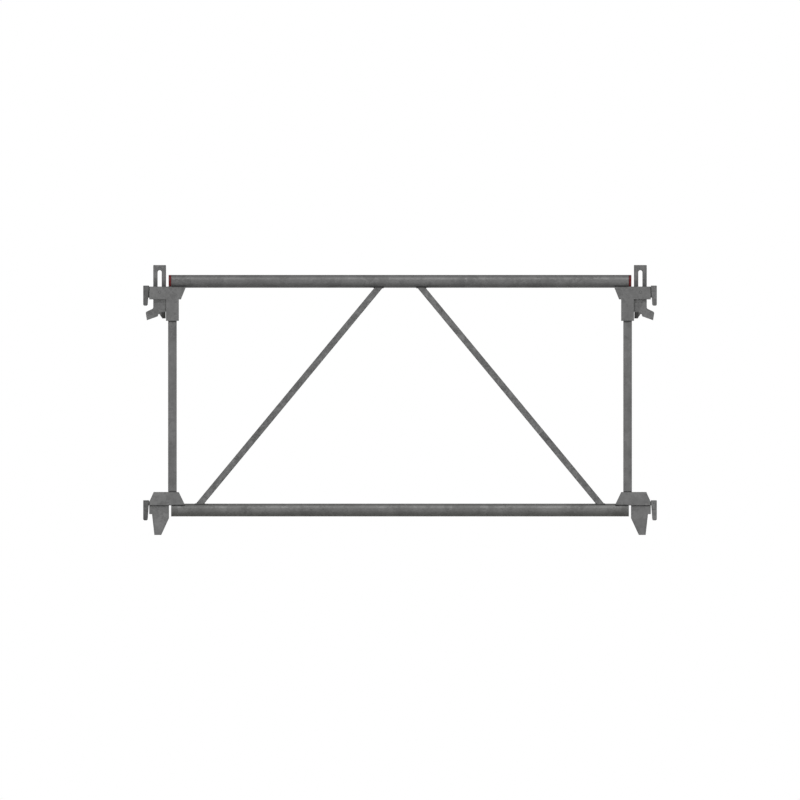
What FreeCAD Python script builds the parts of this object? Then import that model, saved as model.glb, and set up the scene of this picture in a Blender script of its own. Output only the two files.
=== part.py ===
"""Frame scaffold section: a braced tube frame that hangs in the pocket rings of two
scaffold standards. Millimetres; X runs along the frame, Y through its thickness (front is
-Y), Z is up. X = 0 is mid-span, Y = 0 the middle plane, Z = 0 the tips of the guide fins.
The right-hand corner of the frame is the left-hand corner turned half round about Z."""
import FreeCAD, Part
import os
import Sketcher
from FreeCAD import Placement, Rotation, Vector

SIZES = {
    # the whole frame
    "frame_length": 1196.0,     # over the outer faces of the hook tongues
    "hook_pitch": 500.0,        # from the lower seats to the upper seats
    "tube_dia": 30.0,           # top and bottom rails
    "tube_wall": 2.5,
    "rail_setback": 65.0,       # tongue's outer face to the rail's end
    "lower_rail_rise": 9.5,     # lower seat to the bottom rail's axis
    "cope_depth": 0.99,         # how deep the top rail lies in the cheeks' inner edges
    "plate_thick": 3.0,         # cheeks and gussets
    # uprights and braces, rectangular tube
    "post_setback": 68.0,       # tongue's outer face to the upright's middle
    "post_width": 20.0,
    "post_depth": 15.0,         # also the gap between the side plates
    "post_wall": 2.0,
    "post_insert": 11.5,        # how far the upright reaches up between the cheek legs
    "brace_width": 15.0,
    "brace_depth": 15.0,
    "brace_wall": 1.5,
    "brace_head": 37.6,         # mid-span to the brace, on the top rail's axis
    "brace_foot": 55.0,         # rail end to the brace, on the bottom rail's axis
    # end cap of the top rail
    "cap_flange": 6.0,
    "cap_plug": 22.0,
    "cap_wall": 2.0,
    "cap_play": 0.1,
    "cap_round": 1.5,
    # head cheeks
    "arm_height": 30.0,
    "arm_start": 14.0,          # tongue's outer face to the arm's outer end
    "arm_top_end": 100.0,
    "arm_seat_end": 87.8,
    "leg_width": 30.0,
    "leg_drop": 50.0,
    "cope_start": 59.0,         # the cope for rail and cap starts here
    # hook tongues
    "tongue_width": 20.0,
    "tongue_thick": 13.0,
    "tongue_tip_thick": 10.3,
    "tongue_drop": 14.6,        # below the seat
    "tongue_rise": 32.3,        # above the seat
    "tongue_tip_round": 3.5,
    "tongue_top_round": 1.5,
    "ear_low": 20.5,
    "ear_high": 31.5,
    "tang_low": 4.0,
    "tang_high": 27.0,
    # lower bracket
    "gusset_top_start": 24.4,
    "gusset_top_end": 82.8,
    "gusset_foot_end": 97.8,
    "gusset_height": 51.5,
    "gusset_nose": 28.5,        # height at which the outer edge starts to slope
    "fin_drop": 48.5,
    "fin_seat": 6.5,            # length of the fin's seat ledge
    "fin_tip_start": 26.0,
    "fin_tip_end": 42.0,
    "fin_back": 60.0,
    "fin_back_drop": 9.5,
    "fin_root": 44.0,
    "fin_inset": 1.0,           # fin edge inside the gussets' edge
    "fin_play": 0.5,
    # gravity latch: guide pin, bush, washers and latch plate
    "pin_setback": 38.3,
    "pin_height": 16.9,         # above the seat
    "pin_dia": 6.0,
    "pin_play": 0.05,
    "bush_wall": 1.75,
    "side_play": 0.15,
    "washer_dia": 22.0,
    "washer_play": 0.1,
    "latch_thick": 10.0,
    "latch_width": 29.8,
    "latch_top": 63.1,          # above the guide pin
    "latch_lift": 11.0,
    "latch_swing": 3.5,         # room beside the stem for its lean
    "slot_play": 0.3,
    "handle_width": 9.6,
    "handle_top": 51.1,
    "handle_sink": 1.0,
    "toe_shoulder": 38.0,       # all below the guide pin
    "toe_reach": 17.8,
    "toe_corner_drop": 46.3,
    "toe_tip": 29.7,
    "toe_tip_drop": 65.4,
    "heel": 4.6,
    "heel_drop": 56.4,
    "notch": 1.9,
    "notch_drop": 49.0,
    "claw_start": 6.1,
    "claw_back": 13.9,
    "claw_drop": 61.3,
    "claw_step": 45.8,
    "claw_edge": 3.0,           # thickness left at the claw's lower edge
    "latch_round": 5.0,
    "notch_round": 1.5,
}

doc = FreeCAD.newDocument("scaffold_frame")
sheet = doc.addObject("Spreadsheet::Sheet", "sizes")
for row, (alias, size) in enumerate(SIZES.items(), start=1):
    sheet.set(f"A{row}", alias)
    sheet.set(f"B{row}", str(size))
    sheet.setAlias(f"B{row}", alias)
doc.recompute()

# Sizes and places that follow from the driving dimensions, as expressions.
TUBE_R = "sizes.tube_dia / 2"
PLATE_IN = "(sizes.post_depth / 2)"
PLATE_OUT = "(sizes.post_depth / 2 + sizes.plate_thick)"
RAIL_END = "(sizes.frame_length / 2 - sizes.rail_setback)"
UPPER_SEAT = "(sizes.fin_drop + sizes.hook_pitch)"
LOWER_AXIS = "(sizes.fin_drop + sizes.lower_rail_rise)"
UPPER_RAIL_RISE = (f"(sizes.arm_height - sizes.cope_depth + sqrt(({TUBE_R}) * ({TUBE_R})"
                   f" - {PLATE_IN} * {PLATE_IN}))")
UPPER_AXIS = f"({UPPER_SEAT} + {UPPER_RAIL_RISE})"
# where the gussets' outer faces meet the bottom rail, measured from the seat
GUSSET_FOOT = (f"(sizes.lower_rail_rise + sqrt(({TUBE_R}) * ({TUBE_R})"
               f" - {PLATE_OUT} * {PLATE_OUT}))")
BUSH_R = "(sizes.pin_dia / 2 + sizes.pin_play + sizes.bush_wall)"
SLOT_R = f"({BUSH_R} + sizes.slot_play)"
LATCH_HALF = "sizes.latch_width / 2"
TANG_END = f"(sizes.pin_setback - {LATCH_HALF} - sizes.latch_swing)"
ROD = "sizes.frame_length"      # longer than any cut has to be

parts = []


def value(text):
    """The number that an expression comes to."""
    return float(sheet.evalExpression(text))


def new_body(label, base=("0", "0", "0"), turned=False):
    """A sub-part with its origin at base, turned half round about Z for the right side."""
    body = doc.addObject("PartDesign::Body", label)
    body.Label = label
    body.Placement = Placement(Vector(), Rotation(Vector(0, 0, 1), 180 if turned else 0))
    for axis, text in zip("xyz", base):
        body.setExpression(f"Placement.Base.{axis}", text)
    parts.append(body)
    return body


def sketch_on(body, name, role, offset="0"):
    """A sketch on one of the body's own origin planes, moved along its normal."""
    sketch = body.newObject("Sketcher::SketchObject", f"{body.Name}_{name}")
    plane = next(item for item in body.Origin.OriginFeatures if item.Role == role)
    sketch.AttachmentSupport = (plane, [""])
    sketch.MapMode = "FlatFace"
    sketch.setExpression("AttachmentOffset.Base.z", offset)
    return sketch


def fix(sketch, kind, geometry, point, text):
    """A dimension from the sketch's origin to a point, bound to an expression."""
    constraint = Sketcher.Constraint(kind, -1, 1, geometry, point, value(text))
    sketch.setExpression(f"Constraints[{sketch.addConstraint(constraint)}]", text)


def polygon(sketch, corners):
    """A closed outline with straight sides; each corner is a pair of expressions."""
    points = [Vector(value(x), value(y), 0) for x, y in corners]
    first = sketch.GeometryCount
    following = points[1:] + points[:1]
    for start, end in zip(points, following):
        sketch.addGeometry(Part.LineSegment(start, end), False)
    for index, (x, y) in enumerate(corners):
        after = first + (index + 1) % len(corners)
        sketch.addConstraint(Sketcher.Constraint("Coincident", first + index, 2, after, 1))
        fix(sketch, "DistanceX", first + index, 1, x)
        fix(sketch, "DistanceY", first + index, 1, y)


def rectangle(sketch, x_low, y_low, x_high, y_high):
    polygon(sketch, [(x_low, y_low), (x_high, y_low), (x_high, y_high), (x_low, y_high)])


def circle(sketch, x, y, radius):
    centre = Vector(value(x), value(y), 0)
    index = sketch.addGeometry(Part.Circle(centre, Vector(0, 0, 1), value(radius)), False)
    fix(sketch, "DistanceX", index, 3, x)
    fix(sketch, "DistanceY", index, 3, y)
    limit = sketch.addConstraint(Sketcher.Constraint("Radius", index, value(radius)))
    sketch.setExpression(f"Constraints[{limit}]", radius)


def extrude(kind, sketch, length, symmetric=False, flip=False):
    """A Pad or a Pocket of a sketch; a Pocket must take material away."""
    body = sketch.getParentGeoFeatureGroup()
    before = body.Shape.Volume if body.Tip else 0.0
    feature = body.newObject(f"PartDesign::{kind}", sketch.Name + "_" + kind.lower())
    feature.Profile = sketch
    feature.SideType = "Symmetric" if symmetric else "One side"
    feature.Reversed = flip
    feature.setExpression("Length", length)
    sketch.Visibility = False
    doc.recompute()
    if kind == "Pocket" and body.Shape.Volume > before - 1e-3:
        raise ValueError(f"{feature.Name} takes nothing away")
    return feature


def pad(sketch, length, symmetric=False, flip=False):
    return extrude("Pad", sketch, length, symmetric, flip)


def pocket(sketch, length, symmetric=False, flip=False):
    return extrude("Pocket", sketch, length, symmetric, flip)


def round_corners(body, name, radius, corners):
    """Rounds the edges along Y that stand on the given (x, z) corners of an outline."""
    wanted = [(value(x), value(z)) for x, z in corners]
    base = body.Tip
    names = []
    for number, edge in enumerate(base.Shape.Edges, start=1):
        start, end = edge.firstVertex().Point, edge.lastVertex().Point
        along = abs(start.x - end.x) < 1e-6 and abs(start.z - end.z) < 1e-6
        if along and any(abs(start.x - x) + abs(start.z - z) < 1e-4 for x, z in wanted):
            names.append(f"Edge{number}")
    fillet = body.newObject("PartDesign::Fillet", f"{body.Name}_{name}")
    fillet.Base = (base, names)
    fillet.setExpression("Radius", radius)
    doc.recompute()


def cope(body, name, height, start=None):
    """Cuts the seat for a rail that runs along X at the given height."""
    along_all = start is None
    sketch = sketch_on(body, name, "YZ_Plane", "0" if along_all else start)
    circle(sketch, "0", height, TUBE_R)
    pocket(sketch, ROD, symmetric=along_all, flip=not along_all)


# Rails: round tube, square-cut ends
def rail(label, height):
    body = new_body(label, ("0", "0", height))
    ring = sketch_on(body, "ring", "YZ_Plane")
    circle(ring, "0", "0", TUBE_R)
    circle(ring, "0", "0", f"{TUBE_R} - sizes.tube_wall")
    pad(ring, f"2 * {RAIL_END}", symmetric=True)


# Uprights: rectangular tube standing on the bottom rail, held between the side plates
def post(side, turned, sign):
    offset = "(sizes.frame_length / 2 - sizes.post_setback)"
    body = new_body(f"{side}_post", (f"{sign} * {offset}", "0", LOWER_AXIS), turned)
    section = sketch_on(body, "section", "XY_Plane")
    half_x, half_y = "sizes.post_width / 2", "sizes.post_depth / 2"
    rectangle(section, f"-{half_x}", f"-{half_y}", half_x, half_y)
    rectangle(section, f"-{half_x} + sizes.post_wall", f"-{half_y} + sizes.post_wall",
              f"{half_x} - sizes.post_wall", f"{half_y} - sizes.post_wall")
    top = f"{UPPER_SEAT} - sizes.leg_drop + sizes.post_insert"
    pad(section, f"{top} - {LOWER_AXIS}")
    cope(body, "saddle", "0")


# Braces: rectangular tube from the bottom rail's crown to the top rail's underside
def brace(side, sign):
    body = new_body(f"{side}_diagonal")
    foot = f"({RAIL_END} - sizes.brace_foot)"
    run = f"({foot} - sizes.brace_head)"
    rise = f"({UPPER_AXIS} - {LOWER_AXIS})"
    slant = f"sqrt({run} * {run} + {rise} * {rise}) / {rise}"

    def section(name, wall):
        half = f"(sizes.brace_width / 2 - {wall}) * {slant}"
        sketch = sketch_on(body, name, "XZ_Plane")
        polygon(sketch, [
            (f"{sign} * ({foot}) - {half}", LOWER_AXIS),
            (f"{sign} * ({foot}) + {half}", LOWER_AXIS),
            (f"{sign} * sizes.brace_head + {half}", UPPER_AXIS),
            (f"{sign} * sizes.brace_head - {half}", UPPER_AXIS),
        ])
        return sketch

    pad(section("outside", "0"), "sizes.brace_depth", symmetric=True)
    pocket(section("bore", "sizes.brace_wall"), "sizes.brace_depth - 2 * sizes.brace_wall",
           symmetric=True)
    cope(body, "head_saddle", UPPER_AXIS)
    cope(body, "foot_saddle", LOWER_AXIS)


# End caps: moulded plug with a flange of the rail's diameter
def end_cap(side, turned, sign):
    body = new_body(f"{side}_end_cap", (f"{sign} * {RAIL_END}", "0", UPPER_AXIS), turned)
    plug_r = f"({TUBE_R} - sizes.tube_wall - sizes.cap_play)"
    profile = sketch_on(body, "profile", "XZ_Plane")
    polygon(profile, [
        ("-sizes.cap_flange", "0"), ("-sizes.cap_flange", TUBE_R), ("0", TUBE_R),
        ("0", plug_r), ("sizes.cap_plug", plug_r),
        ("sizes.cap_plug", f"{plug_r} - sizes.cap_wall"),
        ("0", f"{plug_r} - sizes.cap_wall"), ("0", "0"),
    ])
    turn = body.newObject("PartDesign::Revolution", f"{body.Name}_turn")
    turn.Profile = profile
    turn.ReferenceAxis = (profile, ["H_Axis"])
    turn.Angle = 360
    doc.recompute()
    names = [f"Edge{number}" for number, edge in enumerate(turn.Shape.Edges, start=1)
             if abs(edge.BoundBox.XMax + value("sizes.cap_flange")) < 1e-4]
    fillet = body.newObject("PartDesign::Fillet", f"{body.Name}_round")
    fillet.Base = (turn, names)
    fillet.setExpression("Radius", "sizes.cap_round")


# Side plates: in the corner's own frame x runs inwards from the tongue's outer face and
# z up from the seat
def side_plate(label, base, turned, front, outline):
    body = new_body(label, base, turned)
    sketch = sketch_on(body, "outline", "XZ_Plane", PLATE_IN if front else f"-{PLATE_IN}")
    polygon(sketch, outline)
    pad(sketch, "sizes.plate_thick", flip=not front)
    return body


def cheek(label, base, turned, front):
    leg_start = "sizes.post_setback - sizes.leg_width / 2"
    leg_end = "sizes.post_setback + sizes.leg_width / 2"
    body = side_plate(label, base, turned, front, [
        ("sizes.arm_start", "0"), (leg_start, "0"), (leg_start, "-sizes.leg_drop"),
        (leg_end, "-sizes.leg_drop"), (leg_end, "0"), ("sizes.arm_seat_end", "0"),
        ("sizes.arm_top_end", "sizes.arm_height"), ("sizes.arm_start", "sizes.arm_height"),
    ])
    cope(body, "saddle", UPPER_RAIL_RISE, "sizes.cope_start")
    hole = sketch_on(body, "pin_hole", "XZ_Plane")
    circle(hole, "sizes.pin_setback", "sizes.pin_height", "sizes.pin_dia / 2")
    pocket(hole, ROD, symmetric=True)


def gusset(label, base, turned, front):
    body = side_plate(label, base, turned, front, [
        ("sizes.arm_start", GUSSET_FOOT), ("sizes.gusset_foot_end", GUSSET_FOOT),
        ("sizes.gusset_top_end", "sizes.gusset_height"),
        ("sizes.gusset_top_start", "sizes.gusset_height"),
        ("sizes.arm_start", "sizes.gusset_nose"),
    ])
    cope(body, "saddle", "sizes.lower_rail_rise", "sizes.cope_start")


# Hook tongues: forged blades; the upper ones have a tang between the cheeks
def hook_tongue(label, base, turned, tang):
    body = new_body(label, base, turned)
    blade = sketch_on(body, "blade", "XZ_Plane")
    polygon(blade, [
        ("0", "-sizes.tongue_drop"), ("sizes.tongue_tip_thick", "-sizes.tongue_drop"),
        ("sizes.tongue_thick", "sizes.ear_low"), ("sizes.arm_start", "sizes.ear_low"),
        ("sizes.arm_start", "sizes.ear_high"), ("sizes.tongue_thick", "sizes.tongue_rise"),
        ("0", "sizes.tongue_rise"),
    ])
    pad(blade, "sizes.tongue_width", symmetric=True)
    round_corners(body, "tip_round", "sizes.tongue_tip_round", [
        ("0", "-sizes.tongue_drop"), ("sizes.tongue_tip_thick", "-sizes.tongue_drop")])
    round_corners(body, "top_round", "sizes.tongue_top_round", [("0", "sizes.tongue_rise")])
    if tang:
        block = sketch_on(body, "tang", "XZ_Plane")
        rectangle(block, "sizes.tongue_tip_thick", "sizes.tang_low", TANG_END,
                  "sizes.tang_high")
        pad(block, "sizes.post_depth", symmetric=True)


# Guide fins: thick plate welded between the gussets, with the lower seat on its ledge
def guide_fin(label, base, turned):
    body = new_body(label, base, turned)
    under_post = "sizes.post_setback - sizes.post_width / 2 - sizes.fin_play"
    slope = ("(sizes.gusset_top_start - sizes.arm_start)"
             " / (sizes.gusset_height - sizes.gusset_nose)")
    root_start = (f"sizes.arm_start + sizes.fin_inset"
                  f" + (sizes.fin_root - sizes.gusset_nose) * {slope}")
    outline = sketch_on(body, "outline", "XZ_Plane")
    polygon(outline, [
        ("sizes.arm_start", "0"), ("sizes.arm_start + sizes.fin_seat", "0"),
        ("sizes.fin_tip_start", "-sizes.fin_drop"), ("sizes.fin_tip_end", "-sizes.fin_drop"),
        ("sizes.fin_back", "-sizes.fin_back_drop"), ("sizes.fin_back", GUSSET_FOOT),
        (under_post, GUSSET_FOOT), (under_post, "sizes.fin_root"),
        (root_start, "sizes.fin_root"), ("sizes.arm_start", "sizes.gusset_nose"),
    ])
    pad(outline, "sizes.post_depth", symmetric=True)


# Guide pin: plain pin through both cheeks, dressed flush with their faces
def guide_pin(label, base, turned):
    body = new_body(label, base, turned)
    section = sketch_on(body, "section", "XZ_Plane")
    circle(section, "0", "0", "sizes.pin_dia / 2")
    pad(section, f"2 * {PLATE_OUT}", symmetric=True)


# Bush that the latch slides on; it turns on the guide pin
def guide_bush(label, base, turned):
    body = new_body(label, base, turned)
    section = sketch_on(body, "section", "XZ_Plane")
    circle(section, "0", "0", BUSH_R)
    circle(section, "0", "0", "sizes.pin_dia / 2 + sizes.pin_play")
    pad(section, "sizes.post_depth - 2 * sizes.side_play", symmetric=True)


# Two washers on the bush, one each side of the latch plate
def latch_washers(label, base, turned):
    body = new_body(label, base, turned)
    section = sketch_on(body, "section", "XZ_Plane")
    circle(section, "0", "0", "sizes.washer_dia / 2")
    circle(section, "0", "0", f"{BUSH_R} + sizes.washer_play")
    pad(section, "sizes.post_depth - 2 * sizes.side_play", symmetric=True)
    gap = sketch_on(body, "latch_gap", "XZ_Plane")
    circle(gap, "0", "0", "sizes.washer_dia")
    pocket(gap, "sizes.latch_thick + 2 * sizes.side_play", symmetric=True)


# Latch plate: slotted handle above, guide slot inside the head, claw and toe below. In its
# own frame the origin is on the guide pin and x runs inwards.
def latch(label, base, turned):
    body = new_body(label, base, turned)
    toe_corner = (f"-({LATCH_HALF}) - sizes.toe_reach", "-sizes.toe_corner_drop")
    shoulder = (f"-({LATCH_HALF})", "-sizes.toe_shoulder")
    notch = ("-sizes.notch", "-sizes.notch_drop")
    plate = sketch_on(body, "plate", "XZ_Plane")
    polygon(plate, [
        (f"-({LATCH_HALF})", "sizes.latch_top"), shoulder, toe_corner,
        ("-sizes.toe_tip", "-sizes.toe_tip_drop"), ("-sizes.heel", "-sizes.heel_drop"),
        notch, ("sizes.claw_start", "-sizes.claw_drop"),
        ("sizes.claw_back", "-sizes.claw_drop"), ("sizes.claw_back", "-sizes.claw_step"),
        (LATCH_HALF, "-sizes.claw_step"), (LATCH_HALF, "sizes.latch_top"),
    ])
    pad(plate, "sizes.latch_thick", symmetric=True)
    round_corners(body, "toe_round", "sizes.latch_round", [shoulder, toe_corner])
    round_corners(body, "notch_rounding", "sizes.notch_round", [notch])
    round_corners(body, "top_round", "sizes.notch_round", [
        (f"-({LATCH_HALF})", "sizes.latch_top"), (LATCH_HALF, "sizes.latch_top")])
    # the handle slot has a round crown and a square foot just inside the head
    half = "sizes.handle_width / 2"
    crown = f"sizes.handle_top - {half}"
    foot = "sizes.arm_height - sizes.pin_height - sizes.handle_sink"
    slot(body, "handle", half, crown, foot, round_foot=False)
    # the guide slot's crown rests on the bush; its length is the latch's lift
    slot(body, "guide", SLOT_R, "0", "-sizes.latch_lift", round_foot=True)
    # both faces of the claw taper down to its lower edge
    taper = sketch_on(body, "claw_taper", "YZ_Plane")
    for sign in ("", "-"):
        polygon(taper, [
            (f"{sign}sizes.latch_thick / 2", "-sizes.claw_step"),
            (f"{sign}sizes.latch_thick", "-sizes.claw_step"),
            (f"{sign}sizes.latch_thick", "-sizes.claw_drop"),
            (f"{sign}sizes.claw_edge / 2", "-sizes.claw_drop"),
        ])
    pocket(taper, "sizes.latch_width", flip=True)


def slot(body, name, half, crown, foot, round_foot):
    """A slot along z on the body's middle line, between the centres of its round ends."""
    window = sketch_on(body, f"{name}_window", "XZ_Plane")
    rectangle(window, f"-({half})", foot, half, crown)
    pocket(window, ROD, symmetric=True)
    for end, height in (("crown", crown), ("foot", foot)):
        if end == "crown" or round_foot:
            hole = sketch_on(body, f"{name}_{end}", "XZ_Plane")
            circle(hole, "0", height, half)
            pocket(hole, ROD, symmetric=True)


rail("top_rail", UPPER_AXIS)
rail("bottom_rail", LOWER_AXIS)
for side, sign, turned in (("left", "-1", False), ("right", "1", True)):
    post(side, turned, sign)
    brace(side, sign)
    end_cap(side, turned, sign)
    upper = (f"{sign} * sizes.frame_length / 2", "0", UPPER_SEAT)
    lower = (f"{sign} * sizes.frame_length / 2", "0", "sizes.fin_drop")
    pin = (f"{sign} * (sizes.frame_length / 2 - sizes.pin_setback)", "0",
           f"{UPPER_SEAT} + sizes.pin_height")
    # turning a corner half round swaps its front and rear plates
    for face in ("front", "rear"):
        front = (face == "front") != turned
        cheek(f"{side}_{face}_cheek", upper, turned, front)
        gusset(f"{side}_{face}_gusset", lower, turned, front)
    hook_tongue(f"{side}_upper_tongue", upper, turned, tang=True)
    hook_tongue(f"{side}_lower_tongue", lower, turned, tang=False)
    guide_fin(f"{side}_guide_fin", lower, turned)
    guide_pin(f"{side}_guide_pin", pin, turned)
    guide_bush(f"{side}_guide_bush", pin, turned)
    latch_washers(f"{side}_latch_washers", pin, turned)
    latch(f"{side}_latch", pin, turned)

doc.recompute()
for item in doc.Objects:
    if "Invalid" in item.State or "Error" in item.State:
        raise ValueError(f"{item.Name} failed: {item.State}")
for body in parts:
    if body.Shape.isNull() or not body.Shape.isValid() or not body.Shape.Solids:
        raise ValueError(f"{body.Label} has no valid solid")
os.makedirs("parts", exist_ok=True)
for body in parts:
    body.Shape.exportStep(f"parts/{body.Label}.step")
    box = body.Shape.BoundBox
    print(f"{body.Label}: {len(body.Shape.Solids)} solid, {body.Shape.Volume / 1000:.2f} cm3,"
          f" x {box.XMin:.1f}..{box.XMax:.1f} y {box.YMin:.1f}..{box.YMax:.1f}"
          f" z {box.ZMin:.1f}..{box.ZMax:.1f}")
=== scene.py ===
import math
import random

import bpy
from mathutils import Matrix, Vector


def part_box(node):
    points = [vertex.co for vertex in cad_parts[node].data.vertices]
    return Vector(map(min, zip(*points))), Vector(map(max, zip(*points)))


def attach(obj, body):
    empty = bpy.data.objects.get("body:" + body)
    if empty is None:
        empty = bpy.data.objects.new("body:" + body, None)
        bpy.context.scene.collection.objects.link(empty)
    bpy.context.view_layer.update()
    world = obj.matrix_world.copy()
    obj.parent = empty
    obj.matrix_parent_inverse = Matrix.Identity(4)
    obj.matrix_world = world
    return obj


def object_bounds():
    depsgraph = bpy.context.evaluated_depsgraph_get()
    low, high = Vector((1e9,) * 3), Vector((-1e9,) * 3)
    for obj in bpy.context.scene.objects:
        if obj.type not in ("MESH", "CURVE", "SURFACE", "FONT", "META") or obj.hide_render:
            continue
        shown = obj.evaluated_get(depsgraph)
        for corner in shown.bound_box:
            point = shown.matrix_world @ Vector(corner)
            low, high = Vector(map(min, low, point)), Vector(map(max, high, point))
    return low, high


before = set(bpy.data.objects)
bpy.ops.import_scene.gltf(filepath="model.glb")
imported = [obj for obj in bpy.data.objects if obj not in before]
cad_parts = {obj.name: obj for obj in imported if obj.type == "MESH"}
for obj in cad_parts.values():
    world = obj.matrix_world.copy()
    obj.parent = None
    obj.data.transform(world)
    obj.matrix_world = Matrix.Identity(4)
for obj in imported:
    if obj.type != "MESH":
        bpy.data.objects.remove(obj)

cad_low, cad_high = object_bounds()


# ---------------------------------------------------------------------------------------
# Rails. Two lengths of round steel tube, sawn square and hot-dip galvanised after welding.
# Years outdoors have dulled the zinc to a mottled grey: faint spangle, cloudy patches,
# streaks where tube has slid along tube, and painted shade underneath and along the top.
# The bottom rail's tones are a shade lighter: painted light for the dimmer light low down.
# ---------------------------------------------------------------------------------------
MM = 0.001


def linear(code, alpha=1.0):
    """An sRGB hex colour as the linear numbers that a shader takes."""
    channels = [int(code[at:at + 2], 16) / 255 for at in (1, 3, 5)]
    curve = [c / 12.92 if c <= 0.04045 else ((c + 0.055) / 1.055) ** 2.4 for c in channels]
    return (*curve, alpha)


def add(tree, kind, settings=None, **inputs):
    """Adds a node with its settings; an input is a number or a socket to link from."""
    made = tree.nodes.new("ShaderNode" + kind)
    for name, setting in (settings or {}).items():
        setattr(made, name, setting)
    for name, given in inputs.items():
        plug = made.inputs[int(name[1:])] if name[1:].isdigit() else made.inputs[
            name.replace("_", " ")]
        if isinstance(given, bpy.types.NodeSocket):
            tree.links.new(given, plug)
        else:
            plug.default_value = given
    return made


def new_material(name):
    material = bpy.data.materials.new(name)
    material.use_nodes = True
    return material, material.node_tree, material.node_tree.nodes["Principled BSDF"]


def ramp(tree, factor, stops):
    """A colour ramp from (place, hex colour) stops."""
    made = add(tree, "ValToRGB", Fac=factor)
    elements = made.color_ramp.elements
    while len(elements) < len(stops):
        elements.new(0.5)
    for element, (place, code) in zip(elements, stops):
        element.position = place
        element.color = linear(code)
    return made.outputs["Color"]


def per_metre(millimetres):
    """Texture scale that makes one feature this long."""
    return 1.0 / (millimetres * MM)


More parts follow.
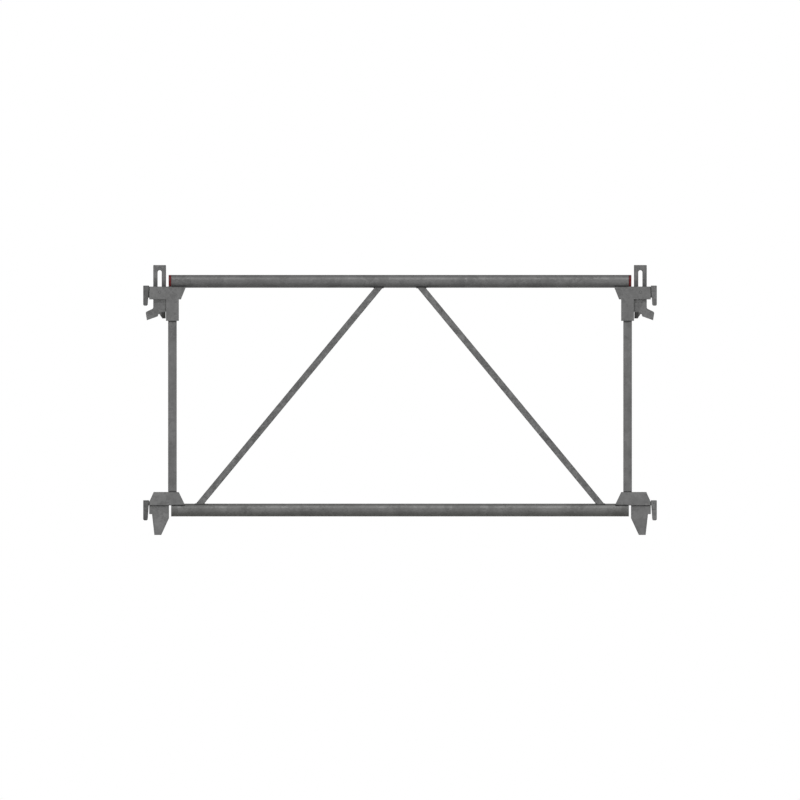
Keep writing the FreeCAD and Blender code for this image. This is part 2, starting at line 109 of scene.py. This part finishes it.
def weathered_zinc(name, tones, streak=(60, 8, 8), rough=(0.48, 0.58), rim="#262626",
                   under="#303030", spangle=14, cloud=70, edge=2.2):
    """Hot-dip galvanised steel that has weathered, its metal two thirds hidden by patina.
    tones run from grimy to clean zinc, rim is the tone of the painted shade along an edge and
    under that of the painted shade on a face that looks down or straight up. Lengths are
    millimetres: streak a streak's along X, Y and Z, spangle and cloud those of a crystal and
    of a patch, and edge the width of the painted edge shade."""
    material, tree, shader = new_material(name)
    coordinates = add(tree, "TexCoord")
    place = coordinates.outputs["Object"]
    # crystals of zinc, with ragged borders: a noise that strays by about 0.1 either way is
    # mixed into the place, by the share that moves a border a quarter of a crystal
    wobble = add(tree, "TexNoise", Vector=place, Scale=per_metre(9), Detail=2.0)
    stray = spangle * 0.25 * MM / 0.1
    ragged = add(tree, "Mix", {"data_type": "VECTOR"}, Factor=stray,
                 _4=place, _5=wobble.outputs["Color"])
    cells = add(tree, "TexVoronoi", Vector=ragged.outputs[1], Scale=per_metre(spangle))
    crystal = add(tree, "SeparateColor", Color=cells.outputs["Color"]).outputs["Red"]
    # cloudy patches where the patina has grown at different rates
    patches = add(tree, "TexNoise", Vector=place, Scale=per_metre(cloud), Detail=4.0,
                  Roughness=0.6).outputs["Fac"]
    blotch = add(tree, "TexNoise", Vector=place, Scale=per_metre(cloud / 4), Detail=5.0,
                 Roughness=0.65).outputs["Fac"]
    # streaks where other tubes have slid along, and a fine salt of white rust
    slide = add(tree, "Mapping", Vector=place, Scale=tuple(per_metre(s) for s in streak))
    streaks = add(tree, "TexNoise", Vector=slide.outputs["Vector"], Scale=1.0, Detail=3.0,
                  Roughness=0.55).outputs["Fac"]
    salt = add(tree, "TexNoise", Vector=place, Scale=per_metre(3.2), Detail=2.0).outputs["Fac"]
    # the patterns are added with these weights and then turned to tones
    tone = None
    for pattern, weight in ((patches, 0.32), (blotch, 0.24), (streaks, 0.18), (crystal, 0.14),
                            (salt, 0.12)):
        share = add(tree, "Math", {"operation": "MULTIPLY_ADD"}, _0=pattern, _1=weight,
                    _2=0.0 if tone is None else tone)
        tone = share.outputs[0]
    colour = ramp(tree, tone, list(zip((0.38, 0.47, 0.54, 0.63), tones)))
    # painted shade: faces that look down are darkened towards the under tone, and faces that look
    # straight up a little
    down = add(tree, "VectorMath", {"operation": "DOT_PRODUCT"},
               _0=coordinates.outputs["Normal"], _1=(0, 0, -1))
    painted_underside_shade = add(tree, "MapRange", Value=down.outputs["Value"], From_Min=0.15, From_Max=1.0,
                   To_Max=0.6)
    topside = add(tree, "MapRange", Value=down.outputs["Value"], From_Min=-0.82,
                  From_Max=-0.95, To_Max=0.65)
    dirt_and_painted_shade = add(tree, "Math", {"operation": "MAXIMUM"}, _0=painted_underside_shade.outputs["Result"],
               _1=topside.outputs["Result"])
    colour_with_painted_shade = add(tree, "Mix", {"data_type": "RGBA"}, Factor=dirt_and_painted_shade.outputs[0],
                _6=colour, _7=linear(under))
    # painted shade along the edges: where the rounded normal turns away from the face, the colour
    # darkens towards the rim tone
    rounded = add(tree, "Bevel", {"samples": 4}, Radius=edge * MM)
    facing = add(tree, "NewGeometry").outputs["Normal"]
    turn = add(tree, "VectorMath", {"operation": "DOT_PRODUCT"}, _0=facing,
               _1=rounded.outputs["Normal"])
    painted_edge_shade = add(tree, "MapRange", Value=turn.outputs["Value"], From_Min=0.995, From_Max=0.85,
               To_Max=0.9)
    rimmed = add(tree, "Mix", {"data_type": "RGBA"}, Factor=painted_edge_shade.outputs["Result"],
                 _6=colour_with_painted_shade.outputs[2], _7=linear(rim))
    tree.links.new(rimmed.outputs[2], shader.inputs["Base Color"])
    # clean zinc is glossier than grimy zinc, and each crystal has a gloss of its own
    gloss = add(tree, "MapRange", Value=tone, From_Min=0.40, From_Max=0.62,
                To_Min=rough[1], To_Max=rough[0])
    facets = add(tree, "Math", {"operation": "MULTIPLY_ADD"}, _0=crystal, _1=-0.03,
                 _2=gloss.outputs["Result"])
    tree.links.new(facets.outputs[0], shader.inputs["Roughness"])
    # grain of the coating, and the odd pimple of dross under it
    grain = add(tree, "TexNoise", Vector=place, Scale=per_metre(1.6), Detail=3.0)
    pimples = add(tree, "TexVoronoi", Vector=place, Scale=per_metre(11))
    pimple = add(tree, "MapRange", Value=pimples.outputs["Distance"], From_Min=0.0,
                 From_Max=0.16, To_Min=1.6, To_Max=0.0)
    height = add(tree, "Math", {"operation": "ADD"}, _0=grain.outputs["Fac"],
                 _1=pimple.outputs["Result"])
    relief = add(tree, "Bump", Strength=0.3, Distance=0.16 * MM, Height=height.outputs[0],
                 Normal=rounded.outputs["Normal"])
    tree.links.new(relief.outputs["Normal"], shader.inputs["Normal"])
    shader.inputs["Metallic"].default_value = 0.35
    return material


def coat(node, material):
    """Gives a CAD node its material."""
    piece = bpy.data.objects[node]
    for plug in piece.material_slots:
        plug.material = material


top_zinc = weathered_zinc("weathered_zinc_tube", ("#545454", "#5D5D5D", "#636363", "#6A6A6A"),
                          streak=(110, 12, 12), cloud=110, spangle=20)
# painted light: the bottom rail's tones are lighter than the top rail's to make up for the dimmer
# light low down, and its under tone is a warmer painted shade
foot_zinc = weathered_zinc("weathered_zinc_low_tube", ("#575756", "#60605F", "#666665", "#6D6D6C"),
                           streak=(110, 12, 12), cloud=110, spangle=20, under="#35342E")
coat("top_rail", top_zinc)
coat("bottom_rail", foot_zinc)


# ---------------------------------------------------------------------------------------
# Uprights and diagonals. Rectangular steel tube, welded between the rails. Their drawn
# faces are flat, with streaks along the uprights and a finer mottling on the diagonals.
# ---------------------------------------------------------------------------------------
SIDES = ("left", "right")
upright_zinc = weathered_zinc("weathered_zinc_upright",
                              ("#595959", "#616161", "#656565", "#6B6B6B"), streak=(7, 7, 80))
diagonal_zinc = weathered_zinc("weathered_zinc_diagonal",
                               ("#4F4F4F", "#5D5D5D", "#656565", "#717171"),
                               streak=(12, 9, 14), cloud=26, spangle=8)
for side in SIDES:
    coat(f"{side}_post", upright_zinc)
    coat(f"{side}_diagonal", diagonal_zinc)


# ---------------------------------------------------------------------------------------
# Side plates and guide fins. Cheeks and gussets cut from 3 mm plate, and the fins from
# thick flat bar. Plate takes the zinc evenly, so it is a shade lighter and calmer than tube.
# The lower brackets' tones are lighter still: painted light for the dimmer light low down.
# ---------------------------------------------------------------------------------------
FACES = ("front", "rear")
plate_zinc = weathered_zinc("weathered_zinc_plate", ("#5B5B5B", "#636363", "#676767", "#6D6D6D"),
                            streak=(25, 25, 40), cloud=55, spangle=18, edge=1.4)
# painted light: lighter tones on the gussets and fins for the dimmer light low down
bracket_zinc_painted_light = weathered_zinc("weathered_zinc_bracket",
                              ("#606060", "#686868", "#6D6D6D", "#737373"),
                              streak=(25, 25, 40), cloud=55, spangle=18)
for side in SIDES:
    for face in FACES:
        coat(f"{side}_{face}_cheek", plate_zinc)
        coat(f"{side}_{face}_gusset", bracket_zinc_painted_light)
    coat(f"{side}_guide_fin", bracket_zinc_painted_light)


# ---------------------------------------------------------------------------------------
# Hook tongues. Forged blades: the forging's scale under the zinc makes them darker and
# rougher. The right pair's tones are lighter: painted light, as if more light fell on the right.
# ---------------------------------------------------------------------------------------
# painted light: the right tones are a lit copy of the left ones
forged_tones_with_painted_light = {"left": ("#4C4C4C", "#545454", "#595959", "#616161"),
                "right": ("#575757", "#616161", "#686868", "#717171")}
for side in SIDES:
    forged_zinc = weathered_zinc(f"zinc_on_{side}_forging", forged_tones_with_painted_light[side],
                                 streak=(12, 12, 30), cloud=30, spangle=9, rough=(0.48, 0.68))
    for level in ("upper", "lower"):
        coat(f"{side}_{level}_tongue", forged_zinc)


# ---------------------------------------------------------------------------------------
# Guide pins, bushes and washers. The pins are dressed flush with the cheeks and galvanised
# with them. The bushes and washers are plain turned steel inside the heads, which the latch
# keeps rubbed bright, with brown dirt between.
# ---------------------------------------------------------------------------------------
def turned_steel(name):
    material, tree, shader = new_material(name)
    place = add(tree, "TexCoord").outputs["Object"]
    lathe = add(tree, "TexNoise", Vector=place, Scale=per_metre(0.8), Detail=2.0)
    dirt_and_painted_shade = add(tree, "TexNoise", Vector=place, Scale=per_metre(5), Detail=4.0)
    colour = ramp(tree, dirt_and_painted_shade.outputs["Fac"],
                  ((0.38, "#4A443E"), (0.50, "#6A6967"), (0.68, "#8C8D8E")))
    tree.links.new(colour, shader.inputs["Base Color"])
    gloss = add(tree, "MapRange", Value=dirt_and_painted_shade.outputs["Fac"], From_Min=0.35, From_Max=0.65,
                To_Min=0.55, To_Max=0.28)
    tree.links.new(gloss.outputs["Result"], shader.inputs["Roughness"])
    relief = add(tree, "Bump", Strength=0.3, Distance=0.1 * MM, Height=lathe.outputs["Fac"])
    tree.links.new(relief.outputs["Normal"], shader.inputs["Normal"])
    shader.inputs["Metallic"].default_value = 0.9
    return material


bush_steel = turned_steel("turned_steel")
for side in SIDES:
    coat(f"{side}_guide_pin", plate_zinc)
    for piece in ("guide_bush", "latch_washers"):
        coat(f"{side}_{piece}", bush_steel)


# ---------------------------------------------------------------------------------------
# Latches. Thick plate profiles with a slot for the hand above the head and a claw and toe
# below. The claw is painted near-black as shade, and a band of painted shadow lies where the
# stem passes the pocket's mouth.
# ---------------------------------------------------------------------------------------
latch_zinc = weathered_zinc("weathered_zinc_latch", ("#535353", "#5C5C5C", "#626262", "#6C6C6C"),
                            streak=(10, 10, 50), cloud=40, spangle=12)
CLAW_RISE = 20 * MM      # foot of the stem above the toe's tip
CLAW_WIDTH = 9.5 * MM    # claw, outwards from the latch's inboard side
SIDE_FADE = 3.5 * MM     # the claw's painted shade fades out over this width beside it
TOP_FADE = 2 * MM        # and over this height above it
MOUTH_REACH = 22 * MM    # painted shadow reaches this far above and below the pocket's mouth
tree = latch_zinc.node_tree
place = tree.nodes.new("ShaderNodeSeparateXYZ")
tree.links.new(add(tree, "TexCoord").outputs["Object"], place.inputs["Vector"])
toe_low, stem_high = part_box("left_latch")
claw_edge = CLAW_WIDTH - stem_high.x
claw_top = toe_low.z + CLAW_RISE
# painted shade: the claw is darkened towards #1E1D1C, fading at its side and top
outboard = add(tree, "Math", {"operation": "ABSOLUTE"}, _0=place.outputs["X"])
claw_side = add(tree, "MapRange", Value=outboard.outputs[0], From_Min=claw_edge + SIDE_FADE,
                From_Max=claw_edge)
claw_level = add(tree, "MapRange", Value=place.outputs["Z"], From_Min=claw_top,
                 From_Max=claw_top - TOP_FADE, To_Max=0.85)
claw = add(tree, "Math", {"operation": "MULTIPLY"}, _0=claw_side.outputs["Result"],
           _1=claw_level.outputs["Result"])
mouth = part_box("left_front_cheek")[1].z
# painted shadow: a dark band fading out above and below the pocket's mouth
off = add(tree, "Math", {"operation": "SUBTRACT"}, _0=place.outputs["Z"], _1=mouth)
near = add(tree, "Math", {"operation": "ABSOLUTE"}, _0=off.outputs[0])
painted_mouth_shadow = add(tree, "MapRange", Value=near.outputs[0], From_Min=MOUTH_REACH, From_Max=0.0,
            To_Max=0.5)
painted_latch_shade = add(tree, "Math", {"operation": "MAXIMUM"}, _0=claw.outputs[0],
             _1=painted_mouth_shadow.outputs["Result"])
base_colour = tree.nodes["Principled BSDF"].inputs["Base Color"]
latch_colour_with_painted_shade = add(tree, "Mix", {"data_type": "RGBA"}, Factor=painted_latch_shade.outputs[0],
             _6=base_colour.links[0].from_socket, _7=linear("#1E1D1C"))
tree.links.new(latch_colour_with_painted_shade.outputs[2], base_colour)
for side in SIDES:
    coat(f"{side}_latch", latch_zinc)


# ---------------------------------------------------------------------------------------
# End caps. Injection-moulded polyethylene plugs in the top rail's ends: a deep red, faded
# unevenly and matt from the sun, with the fine grain of the mould.
# ---------------------------------------------------------------------------------------
def moulded_red(name):
    material, tree, shader = new_material(name)
    place = add(tree, "TexCoord").outputs["Object"]
    fade = add(tree, "TexNoise", Vector=place, Scale=per_metre(14), Detail=4.0)
    colour = ramp(tree, fade.outputs["Fac"],
                  ((0.30, "#3E0406"), (0.52, "#560609"), (0.75, "#660D0E")))
    tree.links.new(colour, shader.inputs["Base Color"])
    mould = add(tree, "TexNoise", Vector=place, Scale=per_metre(0.7), Detail=2.0)
    relief = add(tree, "Bump", Strength=0.25, Distance=0.08 * MM, Height=mould.outputs["Fac"])
    tree.links.new(relief.outputs["Normal"], shader.inputs["Normal"])
    shader.inputs["Roughness"].default_value = 0.6
    shader.inputs["Specular IOR Level"].default_value = 0.25
    return material


cap_red = moulded_red("moulded_red_polyethylene")
for side in SIDES:
    coat(f"{side}_end_cap", cap_red)


# ---------------------------------------------------------------------------------------
# Weld seams. Arc-welded fillets with stacked ripples, galvanised over with the frame, and
# darker than the plate, near-black: painted shadow standing in for the shade in the gaps under
# the rails and where the diagonals meet them. One mesh for each corner's head, each bracket
# and each diagonal.
# ---------------------------------------------------------------------------------------
# painted shadow: the seams' near-black tones stand in for the shade in the gaps they fill
seam_zinc_painted_shadow = weathered_zinc("zinc_on_weld", ("#1E1E1E", "#282828", "#303030", "#3C3C3C"),
                           streak=(5, 5, 5), cloud=16, spangle=6, rough=(0.5, 0.7), edge=0.3)
STEP = 0.6 * MM          # distance between rings of a bead
RIPPLE = 2.6 * MM        # distance between ripples
RING = 10                # points round a bead
X_AXIS, Z_AXIS = Vector((1, 0, 0)), Vector((0, 0, 1))
shake = random.Random(11)


def lengthen(path):
    """The path as points STEP apart."""
    points = [Vector(path[0])]
    for start, end in zip(path, path[1:]):
        span = Vector(end) - Vector(start)
        count = max(1, round(span.length / STEP))
        points += [Vector(start) + span * (n / count) for n in range(1, count + 1)]
    return points


def bead(path, radius, closed=False):
    """Vertices and faces of one rippled bead laid along a path."""
    line = lengthen(path)
    if closed:
        line = line[:-1]
    count = len(line)
    corners = []
    phase = shake.uniform(0, 1)
    for n, point in enumerate(line):
        before = line[(n - 1) % count] if closed or n else line[0]
        after = line[(n + 1) % count] if closed or n < count - 1 else line[-1]
        ahead = (after - before).normalized()
        side = ahead.cross(X_AXIS if abs(ahead.z) > 0.9 else Z_AXIS).normalized()
        up = ahead.cross(side)
        along = (n * STEP / RIPPLE + phase) % 1
        swell = radius * (0.88 + 0.20 * math.sqrt(1 - along) + shake.uniform(-0.03, 0.03))
        if not closed:
            swell *= min(1.0, 0.25 + min(n, count - 1 - n) * STEP / (1.5 * radius))
        for k in range(RING):
            turn = 2 * math.pi * k / RING
            corners.append(point + (side * math.cos(turn) + up * math.sin(turn)) * swell)
    faces = []
    for n in range(count if closed else count - 1):
        here, there = n * RING, (n + 1) % count * RING
        for k in range(RING):
            beside = (k + 1) % RING
            faces.append((here + k, here + beside, there + beside, there + k))
    if not closed:
        faces.append(tuple(range(RING - 1, -1, -1)))
        faces.append(tuple(range((count - 1) * RING, count * RING)))
    return corners, faces


def seams(name, beads):
    """One mesh piece from several beads, in the root body."""
    corners, faces = [], []
    for more_corners, more_faces in beads:
        faces += [tuple(len(corners) + index for index in face) for face in more_faces]
        corners += more_corners
    mesh = bpy.data.meshes.new(name)
    mesh.from_pydata(corners, [], faces)
    for polygon in mesh.polygons:
        polygon.use_smooth = True
    mesh.materials.append(seam_zinc_painted_shadow)
    piece = bpy.data.objects.new(name, mesh)
    bpy.context.scene.collection.objects.link(piece)
    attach(piece, "root")
    return piece


def turned(path, side):
    """A left-hand path, or the same turned half round about Z for the right."""
    sign = 1 if side == "left" else -1
    return [Vector((sign * x, sign * y, z)) for x, y, z in path]


rail_low, rail_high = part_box("top_rail")
top_axis = (rail_low.z + rail_high.z) / 2
rail_radius = (rail_high.z - rail_low.z) / 2
foot_low, foot_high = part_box("bottom_rail")
bottom_axis = (foot_low.z + foot_high.z) / 2
cheek_low, cheek_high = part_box("left_front_cheek")
gusset_low, gusset_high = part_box("left_front_gusset")
post_low, post_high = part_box("left_post")
fin_low, fin_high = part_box("left_guide_fin")
plate_out = -cheek_low.y
plate_in = -cheek_high.y
crown = math.sqrt(rail_radius ** 2 - plate_out ** 2)
EAR = 10 * MM            # height of the tongue's ear against the plates
INSET = 1.0 * MM         # seams stop this far short of a plate's corner
RAIL_BEAD = 1.8 * MM     # radius of the seams along the rails
POST_BEAD = 1.6 * MM     # of those across the uprights
EAR_BEAD = 1.1 * MM      # of those up the ears
FIN_BEAD = 1.0 * MM      # of those across the fins
OUT = 0.1 * MM           # rail seam's centre outside the plate's face
CORNER = 0.7 * MM        # upright or fin seam's centre outside the plate's inner face
SINK = 0.6 * MM          # ear seam's centre inside the plate's outer face
CROWN_GAP = 0.5 * MM     # rail seam's centre below the line where plate and rail meet
POST_GAP = 0.4 * MM      # upright seam's centre beyond the plate's edge
FOOT_GAP = 0.2 * MM      # rail and fin seams' centres below the gusset's edge

for side in SIDES:
    head, bracket = [], []
    for face in (-1, 1):
        outer, corner = face * (plate_out + OUT), face * (plate_in + CORNER)
        height = top_axis - crown - CROWN_GAP
        head.append(bead(turned([(rail_low.x + INSET, outer, height),
                                 (cheek_high.x - INSET, outer, height)], side), RAIL_BEAD))
        height = cheek_low.z - POST_GAP
        head.append(bead(turned([(post_low.x + INSET, corner, height),
                                 (post_high.x - INSET, corner, height)], side), POST_BEAD))
        end = face * (plate_out - SINK)
        head.append(bead(turned([(cheek_low.x, end, cheek_high.z - EAR + INSET),
                                 (cheek_low.x, end, cheek_high.z - INSET)], side), EAR_BEAD))
        height = gusset_low.z - FOOT_GAP
        bracket.append(bead(turned([(foot_low.x + INSET, outer, height),
                                    (gusset_high.x - INSET, outer, height)], side),
                            RAIL_BEAD))
        bracket.append(bead(turned([(fin_low.x + INSET, corner, height),
                                    (fin_high.x - INSET, corner, height)], side), FIN_BEAD))
        height = gusset_high.z + POST_GAP
        bracket.append(bead(turned([(post_low.x + INSET, corner, height),
                                    (post_high.x - INSET, corner, height)], side), POST_BEAD))
        bracket.append(bead(turned([(fin_low.x, end, gusset_low.z + INSET),
                                    (fin_low.x, end, gusset_low.z + EAR - INSET)], side),
                            EAR_BEAD))
    seams(f"{side}_head_welds", head)
    seams(f"{side}_bracket_welds", bracket)


FOOT_BEAD = 1.0 * MM     # radius of the seam round a diagonal's foot
TOP_BEAD = 1.7 * MM      # and round its top, laid overhead and so thicker
CLEAR = 0.5 * MM         # this seam's centre outside the diagonal's faces
LEVEL = 0.05 * MM        # points within this are at one height
SIDE_POINTS = 8          # points along each face of the diagonal


def saddle(node, axis, upward):
    """The closed line round a diagonal where it stands on a rail."""
    low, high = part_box(node)
    level = low.z if upward else high.z
    points = [v.co for v in bpy.data.objects[node].data.vertices]
    far_level = high.z if upward else low.z
    near_end = [p.x for p in points if abs(p.z - level) < LEVEL]
    far_end = [p.x for p in points if abs(p.z - far_level) < LEVEL]
    middle, far = (min(near_end) + max(near_end)) / 2, (min(far_end) + max(far_end)) / 2
    lean = (far - middle) / (far_level - level)
    half = (max(near_end) - min(near_end)) / 2 + CLEAR
    depth = high.y + CLEAR
    corners = [(-half, -depth), (half, -depth), (half, depth), (-half, depth)]
    line = []
    for (x, y), (next_x, next_y) in zip(corners, corners[1:] + corners[:1]):
        for n in range(SIDE_POINTS):
            share = n / SIDE_POINTS
            across, through = x + (next_x - x) * share, y + (next_y - y) * share
            rise = math.sqrt(rail_radius ** 2 - through ** 2)
            height = axis + rise if upward else axis - rise
            line.append((middle + across + lean * (height - level), through, height))
    return line + line[:1]


for side in SIDES:
    node = f"{side}_diagonal"
    seams(f"{side}_diagonal_welds", [
        bead(saddle(node, bottom_axis, True), FOOT_BEAD, closed=True),
        bead(saddle(node, top_axis, False), TOP_BEAD, closed=True)])


# ---------------------------------------------------------------------------------------
# Studio. A pale seamless floor, an even white room, and three soft boxes: a low broad one in
# front, a stronger strip high above it that draws the highlight along the rails, and one
# behind. The camera looks straight at the frame's front, without perspective.
# ---------------------------------------------------------------------------------------
FLOOR_REACH = 40.0       # metres from the middle to the floor's edge
FLOOR_GAP = 0.2 * MM     # between the frame and the floor
CAMERA_AWAY = 5          # metres
VIEW_WIDTH = 1.863       # metres across the picture


def studio_floor():
    material, tree, shader = new_material("pale_paper")
    place = add(tree, "TexCoord").outputs["Object"]
    fibre = add(tree, "TexNoise", Vector=place, Scale=per_metre(6), Detail=3.0)
    colour = ramp(tree, fibre.outputs["Fac"], ((0.3, "#E5E5E4"), (0.7, "#E9E9E8")))
    tree.links.new(colour, shader.inputs["Base Color"])
    shader.inputs["Roughness"].default_value = 0.9
    mesh = bpy.data.meshes.new("studio_floor")
    corners = [(x * FLOOR_REACH, y * FLOOR_REACH, 0)
               for x, y in ((-1, -1), (1, -1), (1, 1), (-1, 1))]
    mesh.from_pydata(corners, [], [(0, 1, 2, 3)])
    mesh.materials.append(material)
    floor = bpy.data.objects.new("studio_floor", mesh)
    floor.location.z = cad_low.z - FLOOR_GAP
    bpy.context.scene.collection.objects.link(floor)


def soft_box(name, width, height, elevation, distance, power, behind=False):
    """A soft box in front of the frame or behind it, aimed at its middle. Its width, height
    and distance are metres, its elevation is degrees above the level, its power is watts."""
    lamp = bpy.data.lights.new(name, "AREA")
    lamp.shape = "RECTANGLE"
    lamp.size, lamp.size_y = width, height
    lamp.energy = power
    holder = bpy.data.objects.new(name, lamp)
    centre = (cad_low + cad_high) / 2
    slope = math.radians(elevation)
    away = 1 if behind else -1
    holder.location = centre + Vector((0, away * math.cos(slope), math.sin(slope))) * distance
    holder.rotation_euler = (math.pi / 2 - slope, 0, math.pi if behind else 0)
    bpy.context.scene.collection.objects.link(holder)


studio_floor()
soft_box("front_box", 6.9, 1.9, 3, 8.0, 68)
soft_box("top_strip", 7.7, 1.15, 55, 8.0, 347)
soft_box("rear_box", 5.2, 1.2, 3, 6.0, 80, behind=True)

world = bpy.data.worlds.new("white_room")
world.use_nodes = True
room = world.node_tree
background = room.nodes["Background"]
# it lights the frame evenly; seen directly it is white, and below the horizon it has the
# floor's own tone, which is lighter towards the back
gaze = room.nodes.new("ShaderNodeSeparateXYZ")
room.links.new(add(room, "TexCoord").outputs["Generated"], gaze.inputs["Vector"])
floor_tone = add(room, "MapRange", Value=gaze.outputs["Y"], From_Min=-0.9, From_Max=0.9,
                 To_Min=0.74, To_Max=0.86)
pale = add(room, "MapRange", Value=gaze.outputs["Z"], From_Min=-0.12, From_Max=-0.02,
           To_Min=floor_tone.outputs["Result"], To_Max=1.0)
seen = add(room, "LightPath").outputs["Is Camera Ray"]
strength = add(room, "MapRange", Value=seen, To_Min=0.60, To_Max=pale.outputs["Result"])
room.links.new(strength.outputs["Result"], background.inputs["Strength"])
background.inputs["Color"].default_value = linear("#FFFFFF")
bpy.context.scene.world = world
bpy.context.scene.view_settings.view_transform = "Standard"

camera = bpy.data.cameras.new("camera")
camera.type = "ORTHO"
camera.ortho_scale = VIEW_WIDTH
camera.clip_end = 30
camera_stand = bpy.data.objects.new("camera", camera)
camera_stand.location = ((cad_low.x + cad_high.x) / 2, -CAMERA_AWAY,
                         (cad_low.z + cad_high.z) / 2)
camera_stand.rotation_euler = (math.pi / 2, 0, 0)
bpy.context.scene.collection.objects.link(camera_stand)
bpy.context.scene.camera = camera_stand
